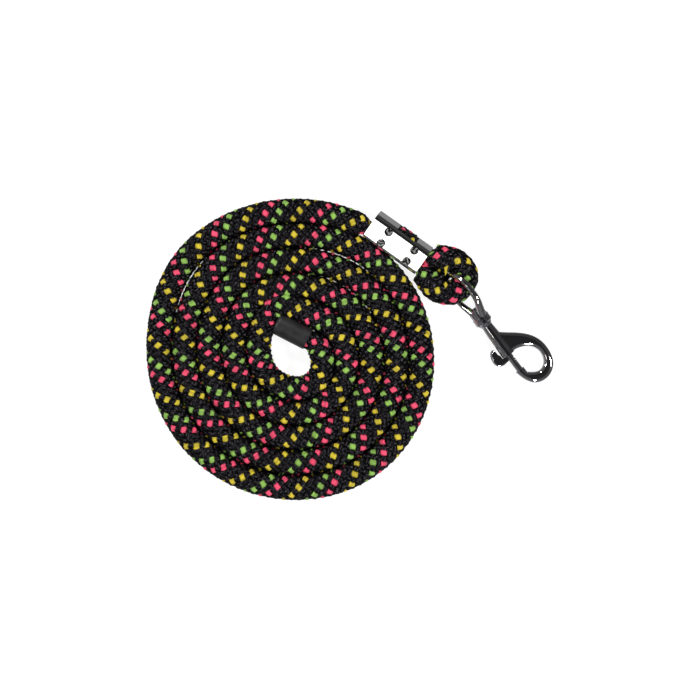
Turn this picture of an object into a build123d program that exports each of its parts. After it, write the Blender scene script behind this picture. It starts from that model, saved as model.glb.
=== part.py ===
from build123d import *

import os
from math import cos, pi, radians, sin, tan

# Horse lead rope with a bolt snap, lying on a flat surface.
# Millimetres, +Z up. The origin is under the middle of the whole part, on the surface that it lies on.
# The rope is coiled flat, goes through a sheet-metal clamp, round the snap's swivel eye and back into the clamp.

# ---- rope ----
ROPE_D = 18.0
ROPE_R = ROPE_D / 2
FREE_END_D = 15.0  # squeezed inside its sleeve
LOOP_ROPE_R = 8.2  # pulled thin where it bends round the swivel eye
ARC_RUN_SHARE = 0.45  # share of the shorter run that each corner's arc takes up

# ---- coil: a flat spiral, one rope diameter further in with each turn ----
COIL_X, COIL_Y = -39.3, -4.5
COIL_OUTER_R = 105.2  # the centreline's radius where the rope leaves the coil
COIL_EXIT_ANGLE = 61.0
COIL_FACE_TURN = 5.0  # the coil's solid stops this many degrees before the exit
OUTLINE_ARCS = 8
RIM_CHAMFER = 4.0

# The open middle of the coil, from the coil's centre, from the sleeve's lower left round to its lower right.
HOLE_OUTLINE = [
    (-17.3, 15.9),
    (-17.4, 4.0),
    (-12.1, -11.2),
    (-1.2, -16.1),
    (9.5, -11.8),
    (12.0, -4.0),
    (6.5, 4.4),
]

# ---- end sleeve, on the free end in the middle of the coil ----
SLEEVE_TIP = (-14.9, 23.9)
SLEEVE_MOUTH = (8.4, 11.9)
SLEEVE_OD = 16.6
SLEEVE_END_WALL = 1.2
SLEEVE_TIP_FILLET = 2.5
SLEEVE_SLOT_GAP = 0.4

# ---- clamp ----
CLAMP_X, CLAMP_Y, CLAMP_Z = 34.0, 77.4, 12.2
CLAMP_AIM = -35.5  # its long axis, degrees from +X
CLAMP_ROLL = 22.0  # its outer edge is raised
CLAMP_L, CLAMP_W, CLAMP_H = 46.5, 21.0, 17.0
CLAMP_WALL = 1.2
CLAMP_CORNER = 3.5
WINDOW_L, WINDOW_H, WINDOW_X = 16.5, 13.6, 2.8
PIN_D, PIN_HEAD_D, PIN_HEAD_H = 4.0, 6.3, 0.9
PIN_MIDDLE_X, PIN_X, PIN_Y = 1.8, 11.3, 5.1
PIN_HEAD_FILLET = 0.35
PIN_DIMPLE_D, PIN_DIMPLE_DEPTH = 2.2, 0.3
STRAND_W = (CLAMP_W - 2 * CLAMP_WALL) / 2
STRAND_H = CLAMP_H - 2 * CLAMP_WALL

# ---- the rope's route where it isn't coiled ----
# Into the clamp, out of it, round the swivel eye, back into the clamp, and its cut end.
ROUTE = [
    (12.6, 87.4, 10.5),
    (50.4, 60.4, 10.5),
    (63.5, 40.0, 13.3),
    (78.4, 40.4, 14.5),
    (86.0, 53.2, 14.5),
    (79.2, 66.4, 14.3),
    (55.4, 67.4, 13.9),
    (17.6, 94.4, 13.9),
]
LOOP_CENTRE = (70.7, 53.6, 14.5)
LOOP_R = 13.55
LEG_BLEND = 11.0  # from the clamp to where the rope is round again

# ---- bolt snap: sizes along its own axis are from the middle of its flange ----
SNAP_AIM = -52.6
SNAP_TILT = 7.1  # the hook's end lies lower than the eye
ROPE_TO_FLANGE = 29.6

# The eye's radius at shares of the way round it, from the barrel over the upper leg and back along the lower one.
EYE_RADII = [(0.0, 2.9), (0.13, 2.6), (0.27, 2.2), (0.5, 1.8), (0.73, 1.8), (0.87, 2.2), (1.0, 2.9)]
EYE_TURN = 66.0  # the eye's plane, turned about the snap's axis from lying flat
EYE_HALF_OUTLINE = [(-6.0, 4.3), (-19.0, 12.5), (-42.6, 13.0)]
EYE_SHOULDER_R, EYE_TIP_R = 14.0, 12.6
BARREL_R, BARREL_RIM_R = 5.9, 6.4
BARREL_TOP, BARREL_RIM_TOP, BARREL_END = -10.0, -5.2, -3.7

POST_R, POST_CLEARANCE = 2.5, 0.05
HEAD_R, HEAD_END, HEAD_GAP = 4.0, -12.8, 0.3
BODY_PROFILE = [
    (HEAD_END, 0.0),
    (HEAD_END, 1.6),
    (-12.1, 3.1),
    (-11.0, HEAD_R),
    (BARREL_TOP - HEAD_GAP, HEAD_R),
    (BARREL_TOP - HEAD_GAP, POST_R),
    (-3.4, POST_R),
    (-3.4, 5.9),
    (-2.9, 6.4),
    (-0.4, 6.4),
    (0.2, 5.6),
    (3.0, 4.0),
    (12.5, 4.5),
    (29.4, 5.2),
    (29.4, 0.0),
]
SHANK_END = 29.4

# The hook's outline, along and across the snap: round the outside from the nose to the shank, then the inside.
HOOK_OUTSIDE = [
    (43.6, -3.4),
    (51.6, -1.2),
    (57.5, 2.7),
    (60.3, 9.4),
    (59.2, 16.7),
    (54.2, 22.6),
    (44.5, 25.6),
    (33.1, 24.2),
    (22.9, 17.2),
    (15.2, 8.0),
    (11.0, 3.4),
]
HOOK_INSIDE = [
    (29.4, 4.6),
    (30.8, 11.0),
    (34.8, 16.8),
    (42.5, 19.6),
    (49.6, 17.4),
    (52.6, 10.5),
    (48.8, 4.2),
    (43.6, 3.4),
]
HOOK_THICK = 6.6
HOOK_FILLET = 2.8
NOSE_X = 43.6

BOLT_R, BOLT_CLEARANCE = 2.4, 0.05
BORE_END = 1.5
BOLT_BACK, BOLT_TIP = 21.5, 45.4
BOLT_TIP_CHAMFER = 0.6
RECESS_R, RECESS_DEPTH = 2.5, 2.2

THUMB_X, THUMB_STEM_L, THUMB_STEM_W = 31.5, 3.6, 3.0
THUMB_PEG_R, THUMB_PEG_END = 1.1, 1.0
THUMB_SHOULDER_Y = -2.6
SLOT_START, SLOT_W = 13.0, 3.6
PAD_OUTSIDE = [(33.4, -5.5), (33.2, -8.8), (31.2, -11.8), (27.2, -12.5), (23.0, -11.3), (20.3, -8.8), (20.2, -7.0)]
PAD_INSIDE = [(21.2, -6.7), (25.4, -6.4), (26.4, -5.5)]
PAD_THICK, PAD_FILLET = 6.4, 1.2

SPRING_WIRE_R, SPRING_MEAN_R, SPRING_TURNS = 0.3, 1.95, 9
SPRING_END_GAP = 0.05

# ---- frames ----
CLAMP_ALONG = Vector(cos(radians(CLAMP_AIM)), sin(radians(CLAMP_AIM)), 0)
CLAMP_UP = Vector(0, 0, 1).rotate(Axis((0, 0, 0), CLAMP_ALONG), CLAMP_ROLL)
CLAMP = Plane(origin=(CLAMP_X, CLAMP_Y, CLAMP_Z), x_dir=CLAMP_ALONG, z_dir=CLAMP_UP)

SNAP_FLAT = Vector(cos(radians(SNAP_AIM)), sin(radians(SNAP_AIM)), 0)
SNAP_ACROSS = Vector(0, 0, 1).cross(SNAP_FLAT)
SNAP_ALONG = SNAP_FLAT.rotate(Axis((0, 0, 0), SNAP_ACROSS), SNAP_TILT)
EYE_CENTRE = Vector(LOOP_CENTRE) + SNAP_FLAT * LOOP_R
SNAP = Plane(
    origin=EYE_CENTRE + SNAP_ALONG * ROPE_TO_FLANGE,
    x_dir=SNAP_ALONG,
    z_dir=SNAP_ALONG.cross(SNAP_ACROSS),
)
EYE_NORMAL = SNAP.z_dir * cos(radians(EYE_TURN)) - SNAP_ACROSS * sin(radians(EYE_TURN))


def rod(radius, start, end):
    """A round bar along X."""
    return extrude(Plane.YZ.offset(start) * Circle(radius), amount=end - start)


def coil_radius(turn):
    """The centreline's radius, so many degrees in from where the rope leaves the coil."""
    return COIL_OUTER_R - ROPE_D * turn / 360


def coil_point(radius, angle, z=0.0):
    """A point at a radius and an angle about the coil's centre."""
    return Vector(COIL_X + radius * cos(radians(angle)), COIL_Y + radius * sin(radians(angle)), z)


def from_coil(x, y, z=0.0):
    """A point given from the coil's centre."""
    return Vector(COIL_X + x, COIL_Y + y, z)


def rim_point(turn):
    return coil_point(coil_radius(turn) + ROPE_R, COIL_EXIT_ANGLE + turn)


def sleeve_plane():
    """Origin at the sleeve's mouth, with its normal towards the sleeve's closed tip."""
    mouth = from_coil(*SLEEVE_MOUTH, ROPE_R)
    tip = from_coil(*SLEEVE_TIP, ROPE_R)
    return Plane(origin=mouth, z_dir=tip - mouth), (tip - mouth).length


def rope_coil():
    step = 360 / OUTLINE_ARCS
    with BuildLine() as outline:
        for i in range(OUTLINE_ARCS):
            turn = COIL_FACE_TURN + i * step
            ThreePointArc(rim_point(turn), rim_point(turn + step / 2), rim_point(turn + step))
        Line(rim_point(COIL_FACE_TURN + 360), rim_point(COIL_FACE_TURN))
    disc = extrude(make_face(outline.line), amount=ROPE_D)
    rim = disc.edges().filter_by(GeomType.CIRCLE)
    disc = chamfer(rim, RIM_CHAMFER)
    with BuildLine() as middle:
        Spline(*[from_coil(x, y) for x, y in HOLE_OUTLINE])
        Line(from_coil(*HOLE_OUTLINE[-1]), from_coil(*HOLE_OUTLINE[0]))
    disc -= extrude(make_face(middle.line), amount=ROPE_D)
    plane, length = sleeve_plane()
    middle_of_sleeve = (from_coil(*SLEEVE_MOUTH) + from_coil(*SLEEVE_TIP)) / 2
    slot_plane = Plane(origin=middle_of_sleeve + Vector(0, 0, ROPE_R), x_dir=plane.z_dir)
    return disc - slot_plane * Box(length, SLEEVE_OD + SLEEVE_SLOT_GAP, ROPE_D)


def end_sleeve():
    plane, length = sleeve_plane()
    sleeve = extrude(Circle(SLEEVE_OD / 2), amount=length)
    sleeve = fillet(sleeve.edges().sort_by(Axis.Z)[-1], SLEEVE_TIP_FILLET)
    sleeve -= extrude(Circle(FREE_END_D / 2), amount=length - SLEEVE_END_WALL)
    return plane * sleeve


def rope_free_end():
    plane, length = sleeve_plane()
    return plane * extrude(Circle(FREE_END_D / 2), amount=length - SLEEVE_END_WALL)


def clamp_section(shrink):
    """The clamp's cross-section, made smaller all round."""
    width, height = CLAMP_W - 2 * shrink, CLAMP_H - 2 * shrink
    return Plane.YZ.offset(-CLAMP_L / 2) * RectangleRounded(width, height, CLAMP_CORNER - shrink)


def pin_places():
    return [(PIN_MIDDLE_X + x, y) for x in (-PIN_X, PIN_X) for y in (PIN_Y, -PIN_Y)]


def pin_holes():
    return [Pos(x, y, 0) * Cylinder(PIN_D / 2, 2 * CLAMP_H) for x, y in pin_places()]


def clamp_shell(side):
    """The upper half of the clamp for side 1, and the lower half for side -1."""
    tube = extrude(clamp_section(0), amount=CLAMP_L) - extrude(clamp_section(CLAMP_WALL), amount=CLAMP_L)
    half = tube & Pos(0, 0, side * CLAMP_H / 2) * Box(CLAMP_L, CLAMP_W, CLAMP_H)
    half -= Pos(WINDOW_X, 0, 0) * Box(WINDOW_L, 2 * CLAMP_W, WINDOW_H)
    for hole in pin_holes():
        half -= hole
    return CLAMP.location * half


def clamp_pin(x, y):
    pin = Cylinder(PIN_D / 2, CLAMP_H)
    for side in (1, -1):
        head = fillet(Cylinder(PIN_HEAD_D / 2, PIN_HEAD_H).edges().sort_by(Axis.Z)[-1], PIN_HEAD_FILLET)
        head -= Pos(0, 0, PIN_HEAD_H / 2) * Cylinder(PIN_DIMPLE_D / 2, 2 * PIN_DIMPLE_DEPTH)
        turn = Rot(X=0 if side == 1 else 180)
        pin += turn * Pos(0, 0, (CLAMP_H + PIN_HEAD_H) / 2) * head
    return CLAMP.location * Pos(x, y, 0) * pin


def strand_in_clamp(side):
    """The tail for side 1 and the standing part of the rope for side -1, pressed flat by the clamp."""
    strand = extrude(clamp_section(CLAMP_WALL), amount=CLAMP_L)
    strand &= Pos(0, side * STRAND_W / 2, 0) * Box(CLAMP_L, STRAND_W, CLAMP_H)
    for hole in pin_holes():
        strand -= hole
    return CLAMP.location * strand


def strand_face(end, side):
    """The pressed rope's section at one end of the clamp."""
    origin = CLAMP.from_local_coords(Vector(end * CLAMP_L / 2, side * STRAND_W / 2, 0))
    return Plane(origin=origin, x_dir=CLAMP.y_dir, z_dir=CLAMP.x_dir) * Ellipse(STRAND_W / 2, STRAND_H / 2)


def round_face(origin, ahead, radius):
    """A round section of the rope, square to its path."""
    across = Vector(0, 0, 1).cross(ahead)
    return Plane(origin=origin, x_dir=across, z_dir=ahead) * Circle(radius)


def rope_lead_out():
    angle = COIL_EXIT_ANGLE + COIL_FACE_TURN
    start = coil_point(coil_radius(COIL_FACE_TURN), angle, ROPE_R)
    ahead = Vector(sin(radians(angle)), -cos(radians(angle)), 0)
    return loft([round_face(start, ahead, ROPE_R), strand_face(-1, -1)])


def corner_radii(points):
    """The radius of each corner's arc, from its shorter run and its turn."""
    radii = []
    for before, corner, after in zip(points, points[1:], points[2:]):
        run_in, run_out = corner - before, after - corner
        half_turn = radians(run_in.get_angle(run_out)) / 2
        shorter = min(run_in.length, run_out.length)
        radii.append(ARC_RUN_SHARE * shorter / tan(half_turn))
    return radii


def rope_loop():
    """The rope from the clamp, round the swivel eye and back: two flattening legs and a round bend."""
    points = [Vector(*p) for p in ROUTE[1:7]]
    radii = corner_radii(points)
    print("loop corner radii", [round(r, 1) for r in radii])
    out, back = (points[1] - points[0]).normalized(), (points[-1] - points[-2]).normalized()
    start, end = points[0] + out * LEG_BLEND, points[-1] - back * LEG_BLEND
    path = FilletPolyline(start, *points[1:-1], end, radius=radii)
    bend = sweep(round_face(start, out, LOOP_ROPE_R), path=path)
    section = pi * LOOP_ROPE_R**2
    print("loop volume", round(bend.volume), "section x length", round(section * path.length))
    leg_out = loft([strand_face(1, -1), round_face(start, out, LOOP_ROPE_R)])
    leg_back = loft([strand_face(1, 1), round_face(end, -back, LOOP_ROPE_R)])
    return bend + leg_out + leg_back


def swivel_eye():
    lean = Vector(0, cos(radians(EYE_TURN)), sin(radians(EYE_TURN)))
    near = [Vector(x, 0, 0) + lean * half for x, half in EYE_HALF_OUTLINE]
    far = [Vector(x, 0, 0) - lean * half for x, half in reversed(EYE_HALF_OUTLINE)]
    path = FilletPolyline(*near, *far, radius=[EYE_SHOULDER_R, EYE_TIP_R, EYE_TIP_R, EYE_SHOULDER_R])
    sections = [Plane(origin=path @ share, z_dir=path % share) * Circle(radius) for share, radius in EYE_RADII]
    eye = sweep(sections, path=path, multisection=True)
    eye += rod(BARREL_R, BARREL_TOP, BARREL_END)
    eye += rod(BARREL_RIM_R, BARREL_RIM_TOP, BARREL_END)
    eye -= rod(POST_R + POST_CLEARANCE, BARREL_TOP - 1, BARREL_END + 1)
    eye -= rod(HEAD_R + HEAD_GAP, HEAD_END - HEAD_GAP, BARREL_TOP)
    return SNAP.location * eye


def hook_arm():
    with BuildLine() as outline:
        Spline(*HOOK_OUTSIDE)
        Line(HOOK_OUTSIDE[-1], (HOOK_OUTSIDE[-1][0], 0))
        Line((HOOK_OUTSIDE[-1][0], 0), (SHANK_END, 0))
        Line((SHANK_END, 0), HOOK_INSIDE[0])
        Spline(*HOOK_INSIDE, tangents=[(0, 1), (-1, 0)])
        Line(HOOK_INSIDE[-1], HOOK_OUTSIDE[0])
    arm = Pos(0, 0, -HOOK_THICK / 2) * extrude(make_face(outline.line), amount=HOOK_THICK)
    rounded = arm.edges().filter_by(Plane.XY).filter_by(GeomType.BSPLINE)
    return fillet(rounded, HOOK_FILLET)


def hook_body():
    body = revolve(make_face(Polyline(*BODY_PROFILE, close=True)), Axis.X)
    body += hook_arm()
    body -= rod(BOLT_R + BOLT_CLEARANCE, BORE_END, SHANK_END + 1)
    body -= rod(RECESS_R, NOSE_X - 1, NOSE_X + RECESS_DEPTH)
    slot_l = SHANK_END - SLOT_START + 1
    body -= Pos(SLOT_START + slot_l / 2, -HOOK_THICK / 2, 0) * Box(slot_l, HOOK_THICK, SLOT_W)
    return SNAP.location * body


def bolt():
    bar = rod(BOLT_R, BOLT_BACK, BOLT_TIP)
    bar = chamfer(bar.edges().sort_by(Axis.X)[-1], BOLT_TIP_CHAMFER)
    return SNAP.location * (bar - thumb_peg())


def thumb_peg():
    length = THUMB_PEG_END - THUMB_SHOULDER_Y
    return Pos(THUMB_X, THUMB_SHOULDER_Y + length / 2, 0) * Rot(X=90) * Cylinder(THUMB_PEG_R, length)


def thumb_piece():
    with BuildLine() as outline:
        Spline(*PAD_OUTSIDE)
        Polyline(PAD_OUTSIDE[-1], *PAD_INSIDE, PAD_OUTSIDE[0])
    pad = Pos(0, 0, -PAD_THICK / 2) * extrude(make_face(outline.line), amount=PAD_THICK)
    rounded = pad.edges().filter_by(Plane.XY).filter_by(GeomType.BSPLINE)
    pad = fillet(rounded, PAD_FILLET)
    stem_l = THUMB_SHOULDER_Y - PAD_OUTSIDE[0][1] + PAD_FILLET
    stem = Pos(THUMB_X, THUMB_SHOULDER_Y - stem_l / 2, 0) * Box(THUMB_STEM_L, stem_l, THUMB_STEM_W)
    return SNAP.location * (pad + stem + thumb_peg())


def bolt_spring():
    start = BORE_END + SPRING_WIRE_R + SPRING_END_GAP
    height = BOLT_BACK - SPRING_WIRE_R - SPRING_END_GAP - start
    path = Helix(height / SPRING_TURNS, height, SPRING_MEAN_R, center=(start, 0, 0), direction=(1, 0, 0))
    section = Plane(origin=path @ 0, z_dir=path % 0) * Circle(SPRING_WIRE_R)
    return SNAP.location * sweep(section, path=path, is_frenet=True)


def main():
    parts = {
        "rope_coil": rope_coil(),
        "rope_lead_out": rope_lead_out(),
        "rope_standing_strand": strand_in_clamp(-1),
        "rope_loop": rope_loop(),
        "rope_tail_strand": strand_in_clamp(1),
        "rope_free_end": rope_free_end(),
        "end_sleeve": end_sleeve(),
        "clamp_top_shell": clamp_shell(1),
        "clamp_bottom_shell": clamp_shell(-1),
        "swivel_eye": swivel_eye(),
        "hook_body": hook_body(),
        "bolt": bolt(),
        "thumb_piece": thumb_piece(),
        "bolt_spring": bolt_spring(),
    }
    for number, (x, y) in enumerate(pin_places(), start=1):
        parts[f"clamp_pin_{number}"] = clamp_pin(x, y)
    os.makedirs("parts", exist_ok=True)
    for name, part in parts.items():
        export_step(part, f"parts/{name}.step")
    box = Compound(children=[p.solid() for p in parts.values()]).bounding_box()
    print("box", box.min, box.max)
    print("swing pivot", EYE_CENTRE, "swing axis", EYE_NORMAL)
    print("flange", SNAP.origin, "along", SNAP_ALONG, "across", SNAP_ACROSS, "up", SNAP.z_dir)


main()
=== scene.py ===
from math import cos, exp, pi, radians, sin, tan

import bpy
import numpy as np
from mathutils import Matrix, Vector


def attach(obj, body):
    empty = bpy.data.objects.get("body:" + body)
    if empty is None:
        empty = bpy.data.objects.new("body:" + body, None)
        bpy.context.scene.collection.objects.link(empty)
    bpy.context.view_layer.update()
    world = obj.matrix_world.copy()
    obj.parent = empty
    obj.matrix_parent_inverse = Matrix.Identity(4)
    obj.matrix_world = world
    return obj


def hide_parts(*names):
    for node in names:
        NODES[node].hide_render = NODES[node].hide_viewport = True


# Horse lead rope with a bolt snap, lying on a pale floor. Metres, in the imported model's frame.
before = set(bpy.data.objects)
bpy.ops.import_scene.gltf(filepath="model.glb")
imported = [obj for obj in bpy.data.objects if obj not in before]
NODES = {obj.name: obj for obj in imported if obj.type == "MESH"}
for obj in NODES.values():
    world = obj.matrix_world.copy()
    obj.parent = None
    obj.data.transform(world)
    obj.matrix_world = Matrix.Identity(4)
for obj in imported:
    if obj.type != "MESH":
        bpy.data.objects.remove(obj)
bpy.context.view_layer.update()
MM = 0.001

# ---- rope ----
ROPE_D = 18.0 * MM
ROPE_R = ROPE_D / 2
FREE_END_SCALE = 15.0 / 18.0  # squeezed inside its sleeve
LOOP_SCALE = 8.55 / 9.0  # pulled thin where it bends round the swivel eye
TANGENT_STEP = 1.5 * MM

# Where the rope isn't coiled: from its cut end through the clamp, round the swivel eye and through it again.
ROUTE = [
    (17.6, 94.4, 13.9),
    (54.7, 68.1, 13.9),
    (66.4, 67.3, 14.0),
    (77.5, 64.8, 14.3),
    (86.0, 53.2, 14.5),
    (78.4, 40.4, 14.5),
    (63.5, 40.0, 13.3),
    (54.4, 49.6, 11.6),
    (49.6, 60.9, 10.5),
    (12.6, 87.4, 10.5),
]
POINTS_PER_SPAN = 16

# ---- coil: an angle is round its centre, and a turn is in from where the rope leaves it (degrees) ----
COIL_X, COIL_Y = -39.3 * MM, -4.5 * MM
COIL_OUTER_R = 105.2 * MM
COIL_EXIT_ANGLE = 61.0
COIL_START_TURN, COIL_END_TURN, COIL_STEP = 15.0, 1770.0, 15.0
COIL_SPREAD = 1.085  # the rope's width in the coil, where its turns press on each other

# Where the rope stands off an even spiral: bell curves, each with its height, middle and spread.
OUTER_TURN_END = 200.0
OUTER_UPPER_LEFT = [(4.8 * MM, 139, 16), (1.5 * MM, 108, 14)]  # by angle
INNER_UPPER_LEFT = [(4.2 * MM, 126, 21)]
LOWER_RIGHT = [(2.3 * MM, 306, 25)]
LOWER_RIGHT_FADES_AT = 3680.0  # the turn at which that would be nothing
BY_CLAMP = [(1.3 * MM, 354, 20), (0.9 * MM, 367, 12), (0.8 * MM, 712, 24)]  # by turn
BY_SLEEVE = [(5.2 * MM, 1487, 13), (-1.2 * MM, 1438, 14)]
INMOST = [(1.6 * MM, 1680, 35), (0.6 * MM, 1270, 35)]

# ---- end sleeve, in the middle of the coil ----
SLEEVE_TIP = (-14.9 * MM, 23.9 * MM)  # from the coil's centre
SLEEVE_MOUTH = (8.4 * MM, 11.9 * MM)
SLEEVE_END_WALL = 1.5 * MM
SLEEVE_CONTROL = 0.4  # the share of the way in at which the spline has a point
SLEEVE_LEAD = 8.0 * MM  # how far before the mouth the rope starts to narrow
SLEEVE_BLEND = 10.0 * MM  # the length over which it does
SLEEVE_SWELL = 0.13  # how much wider the rope is where it passes the sleeve
SWELL_BACK = 422.0  # degrees back round the coil from the rope's end to there
SWELL_SPREAD = 18.0 * MM

# ---- clamp: its frame, as the rope's two strands lie in it ----
CLAMP_CENTRE = np.array((34.0, 77.4, 12.2)) * MM
CLAMP_AIM, CLAMP_ROLL = radians(-35.5), radians(22.0)
CLAMP_ALONG = np.array([cos(CLAMP_AIM), sin(CLAMP_AIM), 0])
CLAMP_LEVEL = np.array([-sin(CLAMP_AIM), cos(CLAMP_AIM), 0])  # across it, before its roll
CLAMP_ACROSS = CLAMP_LEVEL * cos(CLAMP_ROLL) + np.array([0, 0, 1]) * sin(CLAMP_ROLL)
CLAMP_UP = np.cross(CLAMP_ALONG, CLAMP_ACROSS)
CLAMP_L = 46.5 * MM
CLAMPED_BEFORE = 300.0 * MM  # the rope has left the clamp for good before this length of it
STRAND_W, STRAND_H = 9.3 * MM, 14.6 * MM
STRAND_SQUARENESS = 3.0  # how far the pressed rope's section goes from round towards a rectangle
CAVITY_GAP = 0.1 * MM
WINDOW_X, WINDOW_L, WINDOW_BLEND = 2.8 * MM, 16.5 * MM, 3.0 * MM
WINDOW_BULGE = 2.4 * MM  # how far the rope swells out of the clamp's window
WINDOW_SINK = 0.5 * MM  # how much lower it is there

# ---- loop: from the clamp round the swivel eye's wire, and back ----
LEG_BLEND = 7.5 * MM  # from the clamp's end to where the rope is round again
LEGS_TOUCH_TO, LEGS_ROUND_FROM = 17.3 * MM, 19.2 * MM  # beyond the clamp
LEGS_OVERLAP = 1.8 * MM  # seen from above, one leg lies a little over the other
WIRE = np.array((70.6, 52.6)) * MM  # where the wire goes down through the loop
WIRE_ROOM = 2.2 * MM
WIRE_FROM, WIRE_BLEND = 12.0 * MM, 5.0 * MM  # beyond the clamp, where the rope starts to lie round the wire

# ---- braid: eight strands each way, one over and one under ----
STRANDS = 8
LAY = 41.7 * MM  # length of rope in which a strand goes once round
BRAID_R = 6.9 * MM  # middle of the braided layer
WAVE = 1.15 * MM  # how far a strand rises and falls from that
STRAND_HALF_W = 2.15 * MM
STRAND_HALF_T = 1.0 * MM
NARROWING = 0.07  # how much narrower a strand is between over and under, and twice that where it is under
YARNS, YARN_SIDES = 3, 3
UNDERSIDE_POINTS = 3
TONES = (0.82, 1.0, 1.16)  # shades of each colour of yarn
STEPS_PER_WAVE = 8
STRAND_END_GAP = 0.4 * MM
WANDER, WANDER_POINTS = 0.035, 90  # how far a strand strays round the rope (radians), at so many points
UNEVEN, UNEVEN_STEPS = 0.09 * MM, 4  # how far it strays up and down, once in so many rings
CORE_R, CORE_SIDES, CORE_STEP = 6.95 * MM, 24, 1.3 * MM
SEED = 7
COLOURED = {0: "pink", 3: "yellow", 6: "green"}
# How far the braid has slid along the rope (mm), at some distances (m) from the cut end: it is laid closer
# further in.
SLIDE_AT = (0.13, 0.21, 0.33, 0.50, 0.62, 0.80, 0.97, 1.17, 1.33, 1.45, 1.61, 1.70, 1.78, 1.89, 2.06)
SLIDE = (21.0, 17.0, 11.0, 3.0, 3.5, 0.0, -6.5, -8.5, -12.5, -19.5, -22.5, -26.5, -34.0, -38.0, -51.0)

# ---- looks ----
# Yarn: its colour, roughness, gloss and sheen.
YARN_LOOKS = {
    "black": ((0.0014, 0.0013, 0.0019), 0.26, 0.21, 0.003),
    "pink": ((0.86, 0.075, 0.155), 0.5, 0.3, 0.05),
    "yellow": ((0.62, 0.49, 0.03), 0.5, 0.3, 0.05),
    "green": ((0.26, 0.48, 0.085), 0.5, 0.3, 0.05),
}
TONE_ROUGHNESS = 0.04  # from one shade to the next
FIBRE_TWIST = 0.35
# Metal: its colour, the colour where it is dull, its roughness and how wavy it is.
METAL_LOOKS = {
    "snap_chrome": ((0.74, 0.75, 0.79), (0.66, 0.62, 0.60), 0.07, 0.16),
    "clamp_nickel": ((0.88, 0.87, 0.85), (0.80, 0.78, 0.75), 0.12, 0.05),
    "spring_wire": ((0.55, 0.55, 0.57), (0.42, 0.40, 0.38), 0.22, 0.05),
}

# Soft boxes, as seen from the object: azimuth, elevation and half-angle in degrees, and radiance.
BOX_DISTANCE = 1.2
SOFT_BOXES = {
    "box_key": (228, 53, 6.5, 2.6),
    "box_right": (350, 40, 5.5, 46.0),
    "box_back": (105, 42, 5.5, 44.0),
    "box_front": (292, 36, 5.5, 44.0),
    "box_left": (172, 40, 5.5, 44.0),
}
# How bright the room is, by the height looked at: -1 is straight down, 0 the horizon and 1 straight up.
ROOM_LEVELS = [
    (-1.0, 0.10), (-0.85, 0.34), (-0.6, 0.26), (-0.3, 0.12), (0.0, 0.05),
    (0.3, 0.10), (0.55, 0.035), (0.75, 0.09), (0.9, 0.025), (1.0, 0.008),
]
ROOM_BLUE = 1.05
BRIGHT_SIDE = 228.0  # azimuth of the room's brightest side
DIM_SIDE_STRENGTH, BRIGHT_SIDE_STRENGTH = 0.6, 2.0

FLOOR_SIZE = 6.0
CAMERA_X, CAMERA_Y = -0.6 * MM, -0.5 * MM
LENS, SENSOR = 85.0, 36.0  # millimetres
FIELD = 508.0 * MM  # how much the camera sees at the height of the rope's middle


# ---- the rope's line ----


def humps(x, curves):
    """The sum of bell curves, each with its height, middle and spread."""
    return sum(height * exp(-0.5 * ((x - middle) / spread) ** 2) for height, middle, spread in curves)


def coil_radius(turn):
    """The centreline's radius, so many degrees in from where the rope leaves the coil."""
    angle = (COIL_EXIT_ANGLE + turn) % 360
    even = COIL_OUTER_R - ROPE_D * turn / 360
    upper_left = humps(angle, OUTER_UPPER_LEFT if turn < OUTER_TURN_END else INNER_UPPER_LEFT)
    lower_right = humps(angle, LOWER_RIGHT) * (1 - turn / LOWER_RIGHT_FADES_AT)
    return even + upper_left + lower_right + humps(turn, BY_CLAMP + BY_SLEEVE + INMOST)


def coil_points():
    """Control points of the coil. They stand out by what the spline cuts inside them."""
    stand_out = (3 + cos(radians(COIL_STEP))) / 4
    points = []
    for turn in np.arange(COIL_START_TURN, COIL_END_TURN + 1, COIL_STEP):
        radius, angle = coil_radius(turn) / stand_out, radians(COIL_EXIT_ANGLE + turn)
        points.append((COIL_X + radius * cos(angle), COIL_Y + radius * sin(angle), ROPE_R))
    return points


def sleeve_points():
    """Control points at the sleeve's mouth, inside it, and where the rope ends."""
    mouth = Vector((COIL_X + SLEEVE_MOUTH[0], COIL_Y + SLEEVE_MOUTH[1], ROPE_R))
    tip = Vector((COIL_X + SLEEVE_TIP[0], COIL_Y + SLEEVE_TIP[1], ROPE_R))
    end = tip + (mouth - tip).normalized() * SLEEVE_END_WALL
    return [tuple(mouth), tuple(mouth.lerp(end, SLEEVE_CONTROL)), tuple(end)]


def route_line():
    """The rope's centreline: the points of one NURBS spline from the cut end to the sleeve's tip."""
    points = [tuple(c * MM for c in p) for p in ROUTE] + coil_points() + sleeve_points()
    data = bpy.data.curves.new("rope_route", "CURVE")
    data.dimensions = "3D"
    spline = data.splines.new("NURBS")
    spline.points.add(len(points) - 1)
    for control, point in zip(spline.points, points):
        control.co = (*point, 1.0)
    spline.order_u = 3
    spline.use_endpoint_u = True
    spline.resolution_u = POINTS_PER_SPAN
    holder = bpy.data.objects.new("rope_route", data)
    mesh = bpy.data.meshes.new_from_object(holder)
    line = np.array([v.co for v in mesh.vertices])
    bpy.data.meshes.remove(mesh)
    bpy.data.objects.remove(holder)
    bpy.data.curves.remove(data)
    return line


def lengths(line):
    """The distance along a line at each of its points."""
    return np.concatenate([[0], np.cumsum(np.linalg.norm(np.diff(line, axis=0), axis=1))])


def unit(v):
    return v / np.linalg.norm(v, axis=-1, keepdims=True)


def smooth(t):
    """From 0 to 1 with a soft start and end, as t goes from 0 to 1."""
    t = np.clip(t, 0, 1)
    return t * t * (3 - 2 * t)


def beyond_clamp(points):
    """How far points are past the clamp's end, on the loop's side of it."""
    return (points - CLAMP_CENTRE) @ CLAMP_ALONG - CLAMP_L / 2


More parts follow.
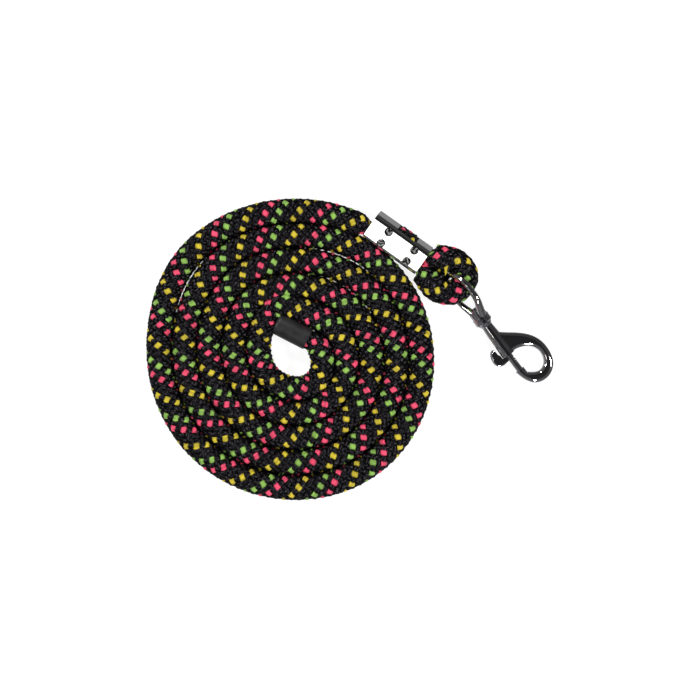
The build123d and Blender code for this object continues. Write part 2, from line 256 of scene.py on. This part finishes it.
class Rope:
    """The rope's centreline with its section's frame, size and roll at any distance from the cut end."""

    def __init__(self):
        self.line = route_line()
        self.along = lengths(self.line)
        self.length = self.along[-1]
        offset = (self.line - CLAMP_CENTRE) @ CLAMP_ALONG
        side = (self.line - CLAMP_CENTRE) @ CLAMP_LEVEL
        near = (np.abs(offset) < CLAMP_L / 2) & (np.abs(side) < ROPE_D)
        clamped = self.along[near & (self.along < CLAMPED_BEFORE)]
        gap = int(np.argmax(np.diff(clamped)))
        self.tail = (clamped[0], clamped[gap])
        self.standing = (clamped[gap + 1], clamped[-1])
        self.middle = (self.tail[1] + self.standing[0]) / 2  # the far end of the loop
        self.sleeve = self.length - (Vector(SLEEVE_MOUTH) - Vector(SLEEVE_TIP)).length
        turn = np.degrees(np.unwrap(np.arctan2(self.line[:, 1] - COIL_Y, self.line[:, 0] - COIL_X)))
        self.by_sleeve = float(np.interp(turn[-1] - SWELL_BACK, turn, self.along))

    def centre(self, s):
        return np.stack([np.interp(s, self.along, self.line[:, k]) for k in range(3)], -1)

    def side(self, s):
        """1 on the tail's side of the loop's far end, and -1 on the other."""
        return np.where(s < self.middle, 1, -1)

    def in_loop(self, s, margin=0.0):
        return (s > self.tail[1] - margin) & (s < self.standing[0] + margin)

    def place(self, s):
        """Centre, across and up at each distance. Across points to the left of the way along."""
        centre = self.centre(s)
        pressed = self.pressed(s)[..., None]
        side = self.side(s)[..., None]
        lane = CLAMP_ACROSS * STRAND_W / 2 * side
        offset = centre - CLAMP_CENTRE
        beside = offset - (offset @ CLAMP_ALONG)[..., None] * CLAMP_ALONG - lane
        centre = centre - beside * pressed
        back = self.centre(np.clip(s - TANGENT_STEP, 0, self.length))
        ahead = self.centre(np.clip(s + TANGENT_STEP, 0, self.length))
        tangent = unit(unit(ahead - back) * (1 - pressed) + CLAMP_ALONG * side * pressed)
        across = unit(np.cross([0, 0, 1], tangent))
        up = np.cross(tangent, across)
        roll = CLAMP_ROLL * pressed * side
        return centre, across * np.cos(roll) + up * np.sin(roll), up * np.cos(roll) - across * np.sin(roll)

    def pressed(self, s):
        """From 0 on round rope to 1 in the clamp."""
        tail = smooth(1 + (self.tail[1] - s) / LEG_BLEND)
        start, end = self.standing
        standing = smooth(1 + (s - start) / LEG_BLEND) * smooth(1 + (end - s) / LEG_BLEND)
        return np.maximum(tail, standing)

    def size(self, s):
        """Width and height of the section, as shares of the round rope's."""
        pressed = self.pressed(s)
        loop = smooth((s - self.tail[1]) / LEG_BLEND) * smooth((self.standing[0] - s) / LEG_BLEND)
        end = smooth((s - self.sleeve + SLEEVE_LEAD) / SLEEVE_BLEND)
        usual = 1 - (1 - LOOP_SCALE) * loop - (1 - FREE_END_SCALE) * end
        coiled = smooth((s - self.standing[1]) / LEG_BLEND) * (1 - end)
        swell = SLEEVE_SWELL * np.exp(-(((s - self.by_sleeve) / SWELL_SPREAD) ** 2))
        wide = usual + (COIL_SPREAD - 1) * coiled + swell
        wide = wide + (STRAND_W / ROPE_D - wide) * pressed
        high = usual + (STRAND_H / ROPE_D - usual) * pressed
        return wide, high

    def surface(self, s, angle, radius):
        """Points at an angle about the centreline, from across to up, and at a radius of the round rope."""
        centre, across, up = self.place(s)
        wide, high = self.size(s)
        power = 2 + STRAND_SQUARENESS * self.pressed(s)
        corner = (np.abs(np.cos(angle)) ** power + np.abs(np.sin(angle)) ** power) ** (-1 / power)
        points = (
            centre
            + across * (radius * corner * np.cos(angle) * wide)[..., None]
            + up * (radius * corner * np.sin(angle) * high)[..., None]
        )
        points = self.in_clamp(points, s)
        points = self.legs_together(points, centre, s)
        return self.round_wire(points, centre, s)

    def in_clamp(self, points, s):
        """Keeps the two strands inside the clamp's walls and swells the cut tail out of its window."""
        offset = points - CLAMP_CENTRE
        x, y, z = offset @ CLAMP_ALONG, offset @ CLAMP_ACROSS, offset @ CLAMP_UP
        side = self.side(s)
        inside = (np.abs(x) < CLAMP_L / 2) & (s < self.standing[1] + CLAMP_L / 2)
        in_window = smooth((WINDOW_L / 2 - np.abs(x - WINDOW_X)) / WINDOW_BLEND) * (s < self.middle)
        swell = WINDOW_BULGE * in_window * np.clip(y / STRAND_W, 0, 1)
        kept_y = np.clip(y * side + swell, CAVITY_GAP, STRAND_W - CAVITY_GAP + swell) * side
        highest = STRAND_H / 2 - CAVITY_GAP - WINDOW_SINK * in_window
        kept_z = np.clip(z, -highest, highest)
        moved = (kept_y - y)[..., None] * CLAMP_ACROSS + (kept_z - z)[..., None] * CLAMP_UP
        return points + inside[..., None] * moved

    def legs_together(self, points, centre, s):
        """Swells the loop's two legs inwards, so that they touch where they come out of the clamp."""
        x, y = beyond_clamp(points), (points - CLAMP_CENTRE) @ CLAMP_LEVEL
        middle_y = (centre - CLAMP_CENTRE) @ CLAMP_LEVEL
        side, half_width = self.side(s), ROPE_R * self.size(s)[0]
        inner = middle_y * side - half_width
        inward = np.clip((middle_y - y) * side / half_width, 0, 1)
        parting = smooth((x - LEGS_TOUCH_TO) / (LEGS_ROUND_FROM - LEGS_TOUCH_TO))
        touch = smooth(x / (LEG_BLEND / 2)) * (1 - parting) * (self.in_loop(s, CLAMP_L / 4) & (x > 0))
        reach = np.clip(inner + LEGS_OVERLAP, 0, None) * inward * touch
        return points - (reach * side)[..., None] * CLAMP_LEVEL

    def round_wire(self, points, centre, s):
        """Swells the loop's inner side until it lies round the wire of the swivel eye."""
        out = centre[..., :2] - WIRE
        away = np.linalg.norm(out, axis=-1)
        out = out / away[..., None]
        half_width = ROPE_R * self.size(s)[0]
        inward = np.clip(-((points - centre)[..., :2] * out).sum(-1) / half_width, 0, 1)
        share = smooth((beyond_clamp(centre) - WIRE_FROM) / WIRE_BLEND) * self.in_loop(s)
        reach = np.clip(away - half_width - WIRE_ROOM, 0, None) * inward * share
        moved = points.copy()
        moved[..., :2] -= out * reach[..., None]
        return moved


# ---- the braid's meshes ----


def tube_mesh(name, rings, tones=None):
    """A closed tube through rings of points, with its ends capped. rings is (count, around, 3).

    Its "yarn" UVs are in metres, across and along. tones gives each quad's material, as (count - 1, around).
    """
    count, around = rings.shape[:2]
    i, j = np.meshgrid(np.arange(count - 1), np.arange(around), indexing="ij")
    following = (j + 1) % around
    quads = np.stack(
        [i * around + j, i * around + following, (i + 1) * around + following, (i + 1) * around + j], -1
    ).reshape(-1, 4)
    caps = [list(range(around))[::-1], list(range((count - 1) * around, count * around))]
    mesh = bpy.data.meshes.new(name)
    mesh.from_pydata(rings.reshape(-1, 3).tolist(), [], quads.tolist() + caps)
    across = lengths(rings[count // 2])
    across = np.append(across, across[-1] + across[1])
    along = lengths(rings.mean(axis=1))
    corners = [(i, j), (i, j + 1), (i + 1, j + 1), (i + 1, j)]
    uvs = np.stack([np.stack([across[b], along[a]], -1) for a, b in corners], 2).reshape(-1, 2)
    uvs = np.concatenate([uvs, np.zeros((2 * around, 2))])
    mesh.uv_layers.new(name="yarn").data.foreach_set("uv", uvs.astype(np.float32).ravel())
    if tones is not None:
        mesh.polygons.foreach_set("material_index", np.concatenate([tones.ravel(), [0, 0]]).astype(np.int32))
    return mesh


def strand_tones(count, rng):
    """Each yarn's shade, new for each float of the strand."""
    floats = count // STEPS_PER_WAVE + 1
    shade = rng.integers(0, len(TONES), (floats, YARNS))
    around = np.arange(YARNS * YARN_SIDES + 1 + UNDERSIDE_POINTS)
    yarn = np.minimum(around // YARN_SIDES, YARNS - 1)
    return shade[np.arange(count - 1) // STEPS_PER_WAVE][:, yarn]


def strand_section():
    """Half-width and height of a flattened strand's outline: its yarns show as ridges on the outer side."""
    flat, ridged, ridge_fall = 0.65, 0.38, 0.6
    t = np.linspace(0, 1, YARNS * YARN_SIDES + 1)
    x = -np.cos(pi * t) * (1 - flat) + (2 * t - 1) * flat
    ridge = np.abs(np.sin(pi * YARNS * t)) * np.sqrt(np.clip(1 - ridge_fall * x**2, 0, 1))
    top = np.sqrt(np.clip(1 - x**2, 0, 1)) * (1 - ridged) + ridge * ridged
    under_x, under_top = np.array([0.7, 0.0, -0.7]), np.array([-0.75, -1.0, -0.75])
    return np.concatenate([x, under_x]), np.concatenate([top, under_top])


def strand_rings(rope, index, hand, rng):
    """Rings of one strand. hand is -1 for the strands that turn to the left going along the rope."""
    wave_length = LAY / STRANDS
    count = int(rope.length / wave_length * STEPS_PER_WAVE)
    s = np.linspace(STRAND_END_GAP, rope.length - STRAND_END_GAP, count)
    laid = s - np.interp(s, SLIDE_AT, SLIDE) * MM
    turns = (laid - index * wave_length) / LAY
    over = np.cos(2 * pi * STRANDS * laid / LAY) * (-hand)
    wander_at = np.linspace(0, rope.length, WANDER_POINTS)
    angle = hand * 2 * pi * turns + np.interp(s, wander_at, rng.normal(0, WANDER, WANDER_POINTS))
    uneven_at = np.linspace(0, rope.length, count // UNEVEN_STEPS)
    uneven = np.interp(s, uneven_at, rng.normal(0, UNEVEN, count // UNEVEN_STEPS))
    middle = BRAID_R + WAVE * over + uneven
    x, top = strand_section()
    half_w = STRAND_HALF_W * (1 - NARROWING * (1 - over))
    # Across the strand is square to its own helix, partly round the rope and partly along it.
    slope = hand * 2 * pi * BRAID_R / LAY
    round_share = 1 / np.sqrt(1 + slope**2)
    along_share = -slope * round_share
    offset = half_w[:, None] * x[None, :]
    ring_s = np.clip(s[:, None] + offset * along_share, 0, rope.length)
    ring_r = middle[:, None] + STRAND_HALF_T * top[None, :]
    ring_angle = angle[:, None] + offset * round_share / BRAID_R
    return rope.surface(ring_s, ring_angle, ring_r)


def core_rings(rope, s):
    """Rings of the core at distances along the rope."""
    angle = np.linspace(0, 2 * pi, CORE_SIDES, endpoint=False)
    ring_s, ring_angle = np.meshgrid(s, angle, indexing="ij")
    return rope.surface(ring_s, ring_angle, np.full(ring_s.shape, CORE_R))


# ---- materials ----


def new_material(name):
    material = bpy.data.materials.new(name)
    material.use_nodes = True
    return material, material.node_tree, material.node_tree.nodes["Principled BSDF"]


def noise(tree, coordinates, scale, detail, stretch=(1, 1, 1), turn=0.0):
    """A noise texture over some coordinates, stretched and turned."""
    place = tree.nodes.new("ShaderNodeMapping")
    place.inputs["Scale"].default_value = stretch
    place.inputs["Rotation"].default_value = (0, 0, turn)
    texture = tree.nodes.new("ShaderNodeTexNoise")
    texture.inputs["Scale"].default_value = scale
    texture.inputs["Detail"].default_value = detail
    tree.links.new(coordinates, place.inputs["Vector"])
    tree.links.new(place.outputs["Vector"], texture.inputs["Vector"])
    return texture.outputs["Fac"]


def bump(tree, height, strength, distance, normal=None):
    node = tree.nodes.new("ShaderNodeBump")
    node.inputs["Strength"].default_value = strength
    node.inputs["Distance"].default_value = distance
    tree.links.new(height, node.inputs["Height"])
    if normal:
        tree.links.new(normal, node.inputs["Normal"])
    return node.outputs["Normal"]


def between(tree, value, low, high, start=0.3, end=0.7):
    """From low to high, as a value goes from start to end."""
    node = tree.nodes.new("ShaderNodeMapRange")
    node.inputs["From Min"].default_value, node.inputs["From Max"].default_value = start, end
    node.inputs["To Min"].default_value, node.inputs["To Max"].default_value = low, high
    tree.links.new(value, node.inputs["Value"])
    return node.outputs["Result"]


def ramp(tree, value, stops):
    """A colour by a value: the stops are values and their colours."""
    node = tree.nodes.new("ShaderNodeValToRGB")
    elements = node.color_ramp.elements
    while len(elements) < len(stops):
        elements.new(0.5)
    for element, (position, colour) in zip(elements, stops):
        element.position = position
        element.color = (*colour, 1)
    tree.links.new(value, node.inputs["Fac"])
    return node.outputs["Color"]


def object_coordinates(tree):
    return tree.nodes.new("ShaderNodeTexCoord").outputs["Object"]


def yarn_material(name, colour, roughness, gloss, sheen):
    """Bulky yarn: fine fibres that run along it with a twist."""
    material, tree, shader = new_material(name)
    shader.inputs["Base Color"].default_value = (*colour, 1)
    shader.inputs["Roughness"].default_value = roughness
    shader.inputs["Specular IOR Level"].default_value = gloss
    shader.inputs["Sheen Weight"].default_value = sheen
    shader.inputs["Sheen Roughness"].default_value = 0.4
    shader.inputs["Specular Tint"].default_value = (0.96, 0.9, 1.0, 1)
    layer = tree.nodes.new("ShaderNodeUVMap")
    layer.uv_map = "yarn"
    fibres = noise(tree, layer.outputs["UV"], scale=1.0, detail=4.0, stretch=(5200, 620, 1), turn=FIBRE_TWIST)
    crimp = noise(tree, layer.outputs["UV"], scale=1.0, detail=2.0, stretch=(1100, 900, 1))
    soft = bump(tree, crimp, strength=0.15, distance=0.0003)
    tree.links.new(bump(tree, fibres, strength=0.35, distance=0.0002, normal=soft), shader.inputs["Normal"])
    return material


def yarn_materials(name):
    """A yarn in its shades, from dark and smoother to light and rougher."""
    colour, roughness, gloss, sheen = YARN_LOOKS[name]
    materials = []
    for k, tone in enumerate(TONES):
        shade = [c * tone for c in colour]
        rough = roughness + TONE_ROUGHNESS * (k - 1)
        materials.append(yarn_material(f"yarn_{name}_{k + 1}", shade, rough, gloss, sheen))
    return materials


def metal_material(name, colour, tarnish, roughness, waviness):
    """Plated metal: a slightly uneven polish, fine scratches and a little warmth where it is dull."""
    material, tree, shader = new_material(name)
    shader.inputs["Metallic"].default_value = 1.0
    coordinates = object_coordinates(tree)
    patches = noise(tree, coordinates, scale=140, detail=3.0)
    scratches = noise(tree, coordinates, scale=1.0, detail=2.0, stretch=(900, 900, 7000), turn=0.9)
    tree.links.new(ramp(tree, patches, [(0.3, colour), (0.7, tarnish)]), shader.inputs["Base Color"])
    rough = between(tree, scratches, low=roughness * 0.75, high=roughness * 1.3)
    tree.links.new(rough, shader.inputs["Roughness"])
    cast = bump(tree, patches, strength=waviness, distance=0.0006)
    fine = bump(tree, scratches, strength=0.08, distance=0.00005, normal=cast)
    tree.links.new(fine, shader.inputs["Normal"])
    return material


def pin_material():
    """Steel pins whose hammered ends are bright in places and dark in others."""
    material, tree, shader = new_material("pin_steel")
    shader.inputs["Metallic"].default_value = 1.0
    coordinates = object_coordinates(tree)
    swirls = noise(tree, coordinates, scale=620, detail=1.5)
    dents = noise(tree, coordinates, scale=900, detail=2.0)
    stops = [(0.49, (0.02, 0.02, 0.021)), (0.56, (0.5, 0.5, 0.49))]
    tree.links.new(ramp(tree, swirls, stops), shader.inputs["Base Color"])
    tree.links.new(between(tree, dents, low=0.22, high=0.4), shader.inputs["Roughness"])
    tree.links.new(bump(tree, dents, strength=0.5, distance=0.0004), shader.inputs["Normal"])
    return material


def sleeve_material():
    """Dark moulded rubber, matte and slightly grained."""
    material, tree, shader = new_material("sleeve_rubber")
    coordinates = object_coordinates(tree)
    grain = noise(tree, coordinates, scale=1400, detail=5.0)
    smears = noise(tree, coordinates, scale=120, detail=2.0)
    stops = [(0.3, (0.013, 0.013, 0.014)), (0.7, (0.022, 0.022, 0.024))]
    tree.links.new(ramp(tree, smears, stops), shader.inputs["Base Color"])
    tree.links.new(between(tree, smears, low=0.36, high=0.5), shader.inputs["Roughness"])
    tree.links.new(bump(tree, grain, strength=0.35, distance=0.0002), shader.inputs["Normal"])
    return material


def floor_material():
    """Pale paper, lit from under as a light table is, so that it shows little shadow."""
    material, tree, shader = new_material("floor")
    grain = noise(tree, object_coordinates(tree), scale=900, detail=3.0)
    tree.links.new(bump(tree, grain, strength=0.05, distance=0.0002), shader.inputs["Normal"])
    shader.inputs["Base Color"].default_value = (0.3, 0.3, 0.3, 1)
    shader.inputs["Roughness"].default_value = 0.9
    shader.inputs["Emission Color"].default_value = (1, 1, 1, 1)
    shader.inputs["Emission Strength"].default_value = 0.85
    return material


# ---- camera, light and floor ----


def direction(azimuth, elevation):
    azimuth, elevation = radians(azimuth), radians(elevation)
    return Vector((cos(elevation) * cos(azimuth), cos(elevation) * sin(azimuth), sin(elevation)))


def camera():
    """Straight above the object, looking down."""
    data = bpy.data.cameras.new("camera")
    data.lens, data.sensor_width = LENS, SENSOR
    holder = bpy.data.objects.new("camera", data)
    holder.location = (CAMERA_X, CAMERA_Y, FIELD * LENS / SENSOR + ROPE_R)
    bpy.context.scene.collection.objects.link(holder)
    bpy.context.scene.camera = holder


def soft_box(name, azimuth, elevation, half_angle, radiance):
    """A round soft box in a direction from the object, so wide as seen from there."""
    place = BOX_DISTANCE * direction(azimuth, elevation)
    radius = BOX_DISTANCE * tan(radians(half_angle))
    data = bpy.data.lights.new(name, "AREA")
    data.shape, data.size = "DISK", 2 * radius
    data.energy = radiance * pi * (pi * radius**2)
    holder = bpy.data.objects.new(name, data)
    holder.location = place
    holder.rotation_euler = (-place).to_track_quat("-Z", "Y").to_euler()
    bpy.context.scene.collection.objects.link(holder)


def room():
    """Dark overhead, where the camera is, and grey below the horizon, with one side brighter."""
    world = bpy.data.worlds.new("studio")
    world.use_nodes = True
    bpy.context.scene.world = world
    tree = world.node_tree
    background = tree.nodes["Background"]
    looked_at = tree.nodes.new("ShaderNodeTexCoord").outputs["Generated"]
    split = tree.nodes.new("ShaderNodeSeparateXYZ")
    tree.links.new(looked_at, split.inputs["Vector"])
    height = between(tree, split.outputs["Z"], low=0, high=1, start=-1, end=1)
    stops = [((h + 1) / 2, (level, level, level * ROOM_BLUE)) for h, level in ROOM_LEVELS]
    tree.links.new(ramp(tree, height, stops), background.inputs["Color"])
    towards = tree.nodes.new("ShaderNodeVectorMath")
    towards.operation = "DOT_PRODUCT"
    towards.inputs[1].default_value = direction(BRIGHT_SIDE, 0)
    tree.links.new(looked_at, towards.inputs[0])
    strength = between(
        tree, towards.outputs["Value"], low=DIM_SIDE_STRENGTH, high=BRIGHT_SIDE_STRENGTH, start=-1, end=1
    )
    tree.links.new(strength, background.inputs["Strength"])


def studio():
    """The room, with soft boxes all round above the object."""
    bpy.context.scene.view_settings.view_transform = "Standard"
    room()
    for name, box in SOFT_BOXES.items():
        soft_box(name, *box)


def floor():
    bpy.ops.mesh.primitive_plane_add(size=FLOOR_SIZE, location=(0, 0, 0))
    plane = bpy.context.object
    plane.name = "floor"
    plane.data.materials.append(floor_material())
    plane.visible_glossy = False  # so that the metal shows the dark room below the horizon, as a cut-out does


# ---- the object ----


def add_rope_piece(name, mesh, materials):
    for polygon in mesh.polygons:
        polygon.use_smooth = True
    for material in materials:
        mesh.materials.append(material)
    piece = bpy.data.objects.new(name, mesh)
    bpy.context.scene.collection.objects.link(piece)
    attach(piece, "rope")
    return piece


def build_rope():
    """The core and the sixteen strands braided over it."""
    rope = Rope()
    rng = np.random.default_rng(SEED)
    s = np.linspace(0, rope.length, int(rope.length / CORE_STEP))
    rings = core_rings(rope, s)
    yarns = {name: yarn_materials(name) for name in YARN_LOOKS}
    core = add_rope_piece("rope_core", tube_mesh("rope_core", rings), yarns["black"][:1])
    for hand, word in ((-1, "left"), (1, "right")):
        for index in range(STRANDS):
            name = f"strand_{word}_{index + 1}"
            colour = COLOURED.get(index, "black") if hand < 0 else "black"
            rings = strand_rings(rope, index, hand, rng)
            mesh = tube_mesh(name, rings, strand_tones(len(rings), rng))
            add_rope_piece(name, mesh, yarns[colour])
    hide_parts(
        "rope_coil",
        "rope_lead_out",
        "rope_standing_strand",
        "rope_loop",
        "rope_tail_strand",
        "rope_free_end",
    )
    rope.surface(s, s * 0, s * 0).tolist()


def finish_cad_pieces():
    """Gives the pieces that keep their CAD shape their materials."""
    metals = {name: metal_material(name, *look) for name, look in METAL_LOOKS.items()}
    snap, clamp, spring = metals["snap_chrome"], metals["clamp_nickel"], metals["spring_wire"]
    pins = pin_material()
    looks = {name: snap for name in ("swivel_eye", "hook_body", "bolt", "thumb_piece")}
    looks |= {name: clamp for name in ("clamp_top_shell", "clamp_bottom_shell")}
    looks |= {f"clamp_pin_{number}": pins for number in (1, 2, 3, 4)}
    looks |= {"bolt_spring": spring, "end_sleeve": sleeve_material()}
    for name, material in looks.items():
        materials = NODES[name].data.materials
        materials.clear()
        materials.append(material)


camera()
studio()
floor()
build_rope()
finish_cad_pieces()
